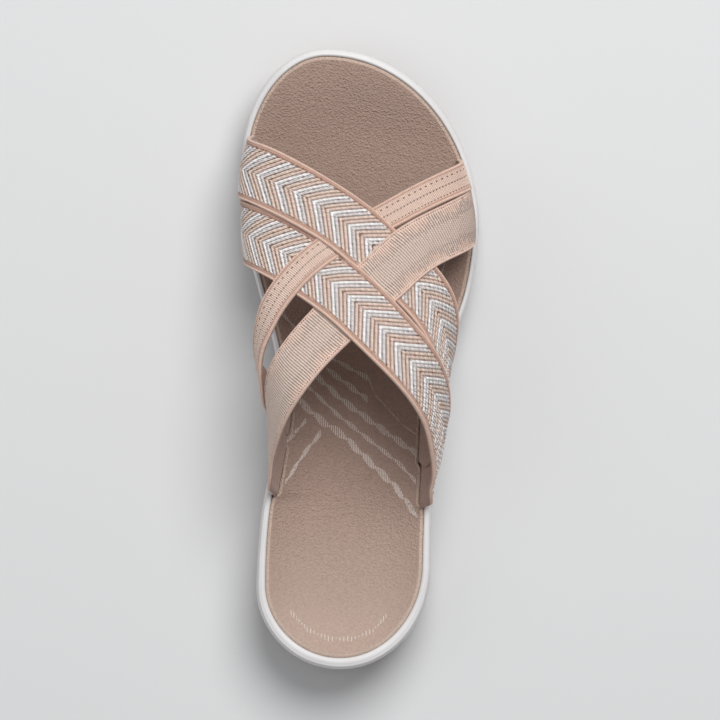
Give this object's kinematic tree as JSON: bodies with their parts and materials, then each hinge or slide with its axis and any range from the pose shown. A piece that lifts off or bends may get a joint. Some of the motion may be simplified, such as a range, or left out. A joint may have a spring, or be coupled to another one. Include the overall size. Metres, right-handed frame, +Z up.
{
  "type": "slip-on sandal",
  "caption": "Flat slip-on sandal, right shoe: woven knitted straps over a padded footbed, white foam midsole and tan rubber outsole",
  "frame": {"origin": "on the floor, at the flat spot under the middle of the heel", "axes": "+Y to the toe, +Z up, +X to the outer (lateral) side of the foot"},
  "size_m": [0.0993, 0.256, 0.0804],
  "materials": {
    "outsole": "matt tan rubber with a fine ribbed tread",
    "midsole": "smooth white moulded foam",
    "footbed": "soft matt tan, finely grained",
    "upper": "knitted webbing in peach, white, grey and brown"
  },
  "bodies": {
    "root": {"outsole": "outsole", "midsole": "midsole", "footbed": "footbed", "upper": "upper"}
  },
  "joints": []
}
